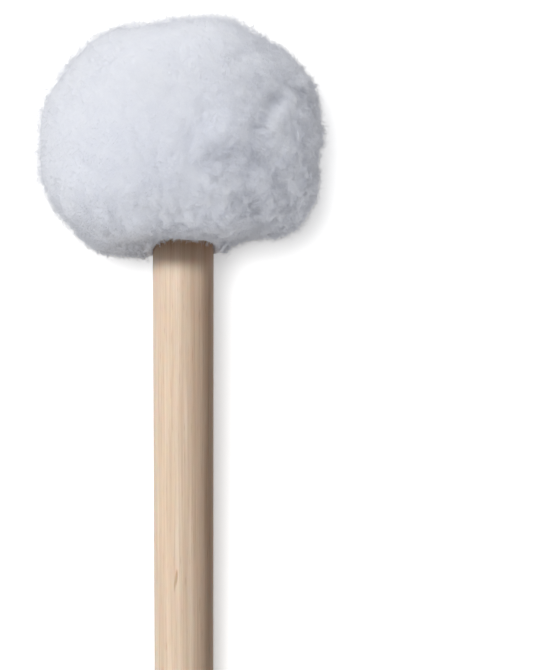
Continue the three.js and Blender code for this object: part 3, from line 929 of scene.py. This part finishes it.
def make_drawstring():
    """A three-strand cord, wound round the neck as its solid is, and the knot that ties it."""
    reaches, heights = axis_places("drawstring")
    bore = reaches.min()
    low, high = heights.min() + CORD_RADIUS, heights.max() - CORD_RADIUS
    turn = np.linspace(0, FULL_TURN * CORD_TURNS, CORD_RINGS)
    outward = np.cos(turn)[:, None] * side_axis - np.sin(turn)[:, None] * up_axis
    climb = np.linspace(low, high, CORD_RINGS)[:, None] * shaft_axis
    middle = butt_point + climb + (bore + CORD_RADIUS) * outward
    twist = turn * (bore + CORD_RADIUS) * FULL_TURN / CORD_LAY
    strand_radius = CORD_RADIUS * STRAND_SHARE
    vertices, faces = [], []
    for strand in range(STRANDS):
        phase = (twist + strand * FULL_TURN / STRANDS)[:, None]
        offset = (CORD_RADIUS - strand_radius) * (np.cos(phase) * outward + np.sin(phase) * shaft_axis)
        faces += tube_faces(strand * CORD_RINGS * CORD_SIDES, CORD_RINGS, CORD_SIDES, False)
        vertices.append(tube_rings(middle + offset, strand_radius, CORD_SIDES))

    # The knot is a trefoil, whose loops reach three times its unit.
    t = np.linspace(0, FULL_TURN, KNOT_RINGS, endpoint=False)[:, None]
    reach = (KNOT_RADIUS - strand_radius) / 3
    knot = reach * (
        (np.sin(t) + 2 * np.sin(2 * t)) * side_axis
        + (np.cos(t) - 2 * np.cos(2 * t)) * shaft_axis
        - KNOT_DEPTH * np.sin(3 * t) * up_axis
    )
    knot_place = (low - CORD_RADIUS + KNOT_RADIUS) * shaft_axis + (bore + KNOT_RADIUS) * side_axis
    faces += tube_faces(STRANDS * CORD_RINGS * CORD_SIDES, KNOT_RINGS, CORD_SIDES, True)
    vertices.append(tube_rings(butt_point + knot_place + knot, strand_radius, CORD_SIDES))
    piece = add_piece("drawstring_cord", np.concatenate(vertices), faces, cotton)
    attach(piece, "root")
    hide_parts("drawstring")


dress_solids()
make_wrap()
for pad in PADS:
    make_pad(*pad)
make_drawstring()


# The table, the light and the camera

def make_table():
    """The white table. The camera sees it brighter than it is for the light that it throws back."""
    material, tree, shader = new_material("white_table", Roughness=1.0, Specular_IOR_Level=0.0)
    rays = add_node(tree, "LightPath").outputs["Is Camera Ray"]
    colour = add_mix(tree, rays, (*grey(FLOOR_BOUNCE), 1), (1, 1, 1, 1))
    tree.links.new(colour, shader.inputs["Base Color"])
    lift = add_node(tree, "Math", {0: rays, 1: FLOOR_LIFT}, operation="MULTIPLY")
    shader.inputs["Emission Color"].default_value = (1, 1, 1, 1)
    tree.links.new(lift.outputs[0], shader.inputs["Emission Strength"])
    corners = [(x * TABLE_HALF, y * TABLE_HALF, 0) for x, y in ((-1, -1), (1, -1), (1, 1), (-1, 1))]
    table = add_piece("table", corners, [(0, 1, 2, 3)], material, smooth=False)
    table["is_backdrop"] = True
    return table


def make_light(table):
    """The sky, white where it is seen and faint where it lights, and the suns with what each lights."""
    world = bpy.data.worlds.new("studio")
    world.use_nodes = True
    bpy.context.scene.world = world
    tree = world.node_tree
    rays = add_node(tree, "LightPath").outputs
    seen = add_node(tree, "Math", {0: rays["Is Camera Ray"], 1: rays["Is Glossy Ray"]}, operation="MAXIMUM")
    seen = add_node(tree, "Math", {0: seen.outputs[0], 1: rays["Is Transmission Ray"]}, operation="MAXIMUM")
    strength = add_node(tree, "MapRange", {"Value": seen.outputs[0], "To Min": SKY_LEVEL, "To Max": 1.0})
    background = tree.nodes["Background"]
    background.inputs["Color"].default_value = (1, 1, 1, 1)
    tree.links.new(strength.outputs[0], background.inputs["Strength"])
    wooden = [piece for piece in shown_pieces() if piece not in fleece_pieces]
    lit = {"table": [table], "fleece": fleece_pieces, "wood": wooden}
    for name, (place, bearing, height, width, level) in LAMPS.items():
        receivers = bpy.data.collections.new(name)
        for piece in lit[place]:
            receivers.objects.link(piece)
        sun = bpy.data.lights.new(name, "SUN")
        sun.energy = level * math.pi
        sun.angle = math.radians(width)
        lamp = bpy.data.objects.new(name, sun)
        lamp.rotation_euler = (math.radians(90 - height), 0, math.radians(180 + bearing))
        lamp.light_linking.receiver_collection = receivers
        bpy.context.scene.collection.objects.link(lamp)


def make_camera():
    """The camera looks straight down at the middle of the photograph, through a long lens."""
    camera = bpy.data.cameras.new("camera")
    camera.lens, camera.sensor_width = LENS_MM, SENSOR_MM
    middle = pixel_place(IMAGE_WIDTH / 2, IMAGE_HEIGHT / 2)
    distance = IMAGE_HEIGHT * METRES_PER_PIXEL * LENS_MM / SENSOR_MM
    holder = bpy.data.objects.new("camera", camera)
    holder.location = (*middle, head_centre.z + distance)
    bpy.context.scene.collection.objects.link(holder)
    bpy.context.scene.camera = holder


make_light(make_table())
make_camera()
bpy.context.scene.view_settings.view_transform = "Standard"
